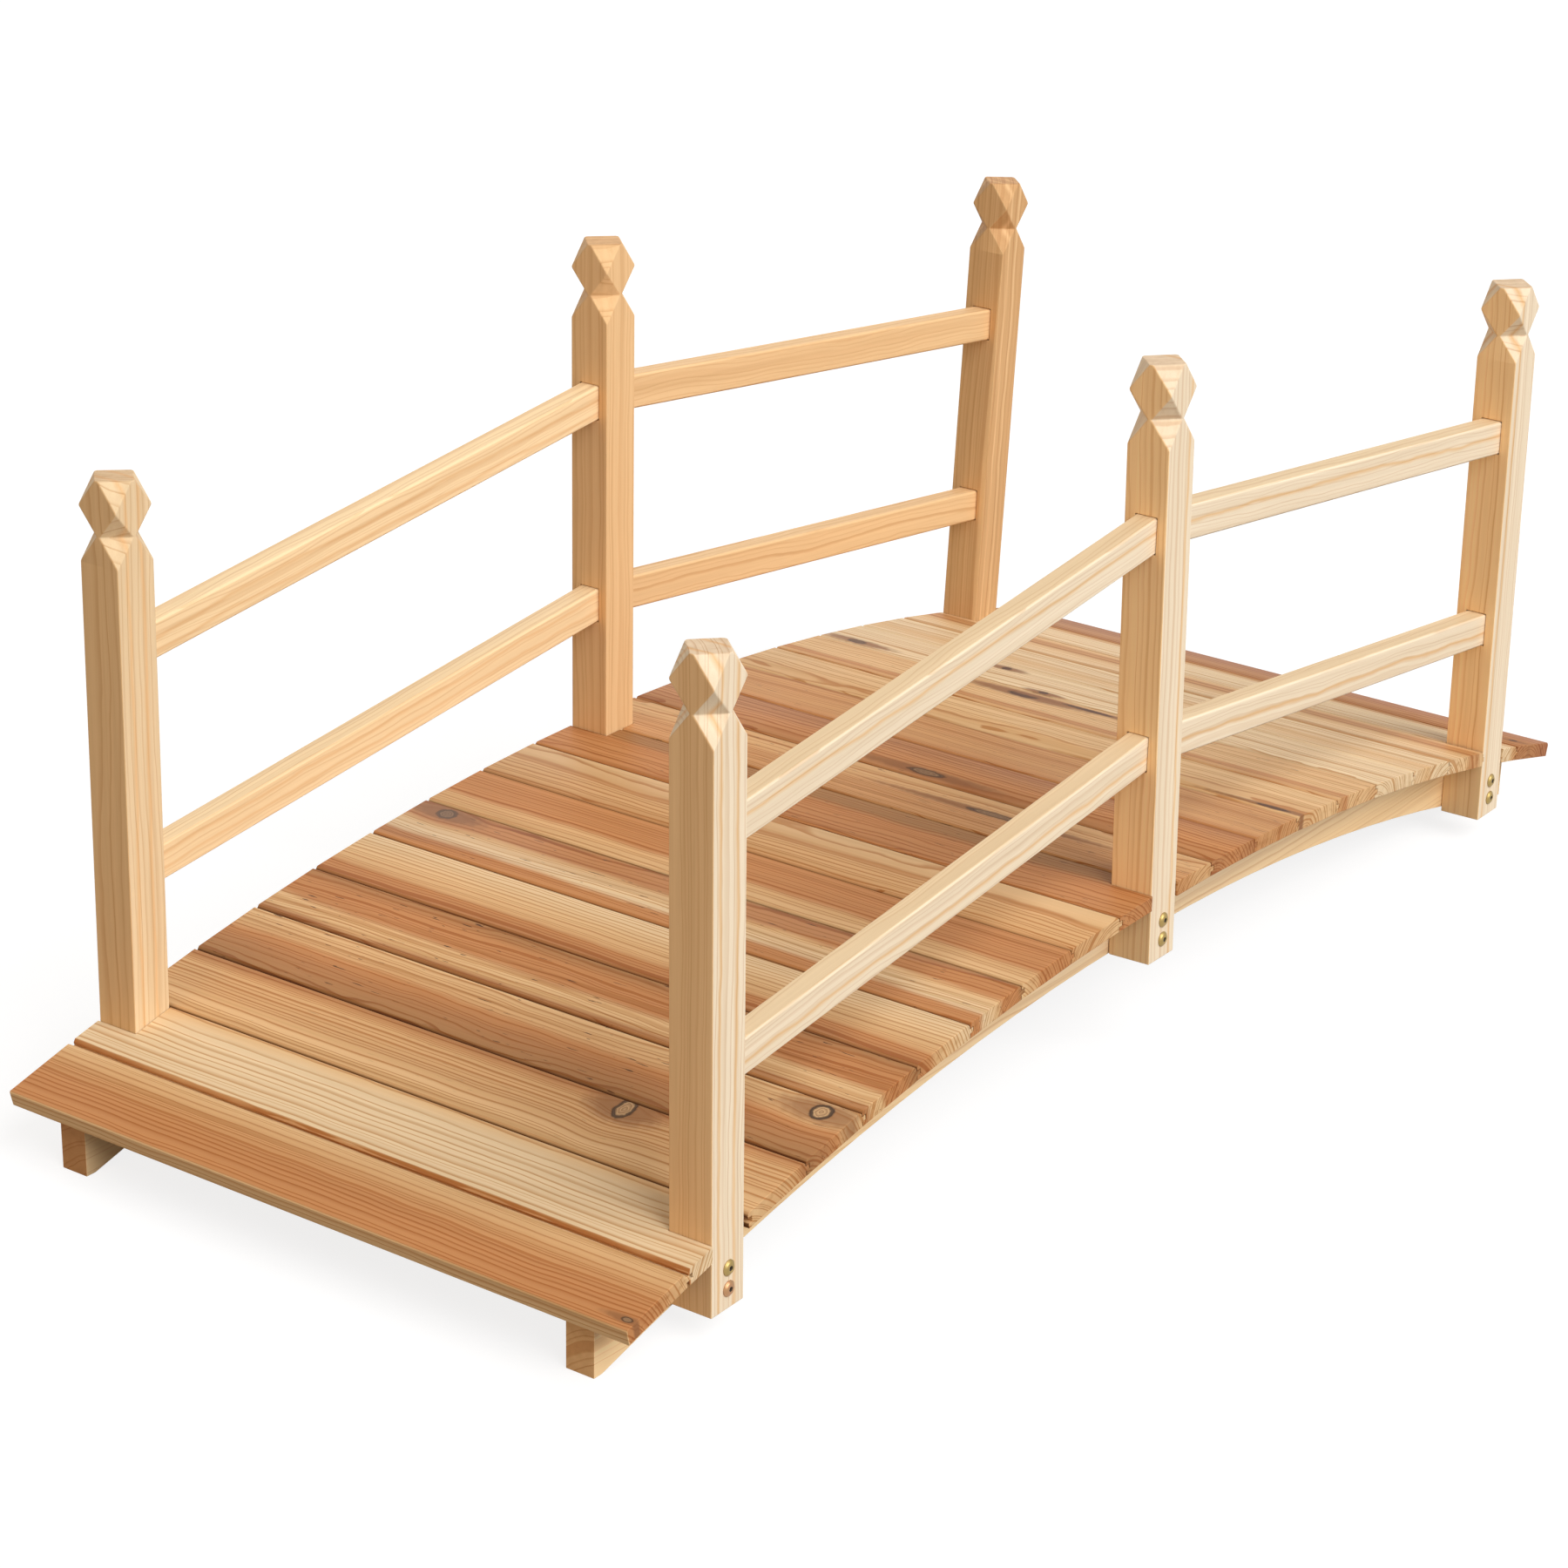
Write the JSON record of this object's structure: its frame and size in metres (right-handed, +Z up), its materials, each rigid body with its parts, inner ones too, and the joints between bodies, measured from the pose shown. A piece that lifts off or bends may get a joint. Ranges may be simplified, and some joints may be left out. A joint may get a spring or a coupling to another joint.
{
  "type": "garden bridge",
  "caption": "Small arched softwood footbridge for a garden, with a plank deck, square posts with cut finials and double side rails.",
  "frame": {"origin": "on the ground under the middle of the bridge", "axes": "+X along the bridge, +Y across it to the left-hand side, +Z up"},
  "size_m": [1.5017, 0.637, 0.6223],
  "materials": {
    "frame_wood": "bare planed softwood, pale cream with straight fine grain",
    "deck_wood": "bare planed softwood boards, orange heartwood and cream sapwood"
  },
  "bodies": {
    "root": {"deck_board_01": "deck_wood", "deck_board_02": "deck_wood", "deck_board_03": "deck_wood", "deck_board_04": "deck_wood", "deck_board_05": "deck_wood", "deck_board_06": "deck_wood", "deck_board_07": "deck_wood", "deck_board_08": "deck_wood", "deck_board_09": "deck_wood", "deck_board_10": "deck_wood", "deck_board_11": "deck_wood", "deck_board_12": "deck_wood", "deck_board_13": "deck_wood", "deck_board_14": "deck_wood", "deck_board_15": "deck_wood", "deck_board_16": "deck_wood", "deck_board_17": "deck_wood", "deck_board_18": "deck_wood", "deck_board_19": "deck_wood", "deck_board_20": "deck_wood", "post_far_left": "frame_wood", "post_far_right": "frame_wood", "post_mid_left": "frame_wood", "post_mid_right": "frame_wood", "post_near_left": "frame_wood", "post_near_right": "frame_wood", "rail_lower_far_left": "frame_wood", "rail_lower_far_right": "frame_wood", "rail_lower_near_left": "frame_wood", "rail_lower_near_right": "frame_wood", "rail_upper_far_left": "frame_wood", "rail_upper_far_right": "frame_wood", "rail_upper_near_left": "frame_wood", "rail_upper_near_right": "frame_wood", "stringer_left": "frame_wood", "stringer_right": "frame_wood"}
  },
  "joints": []
}
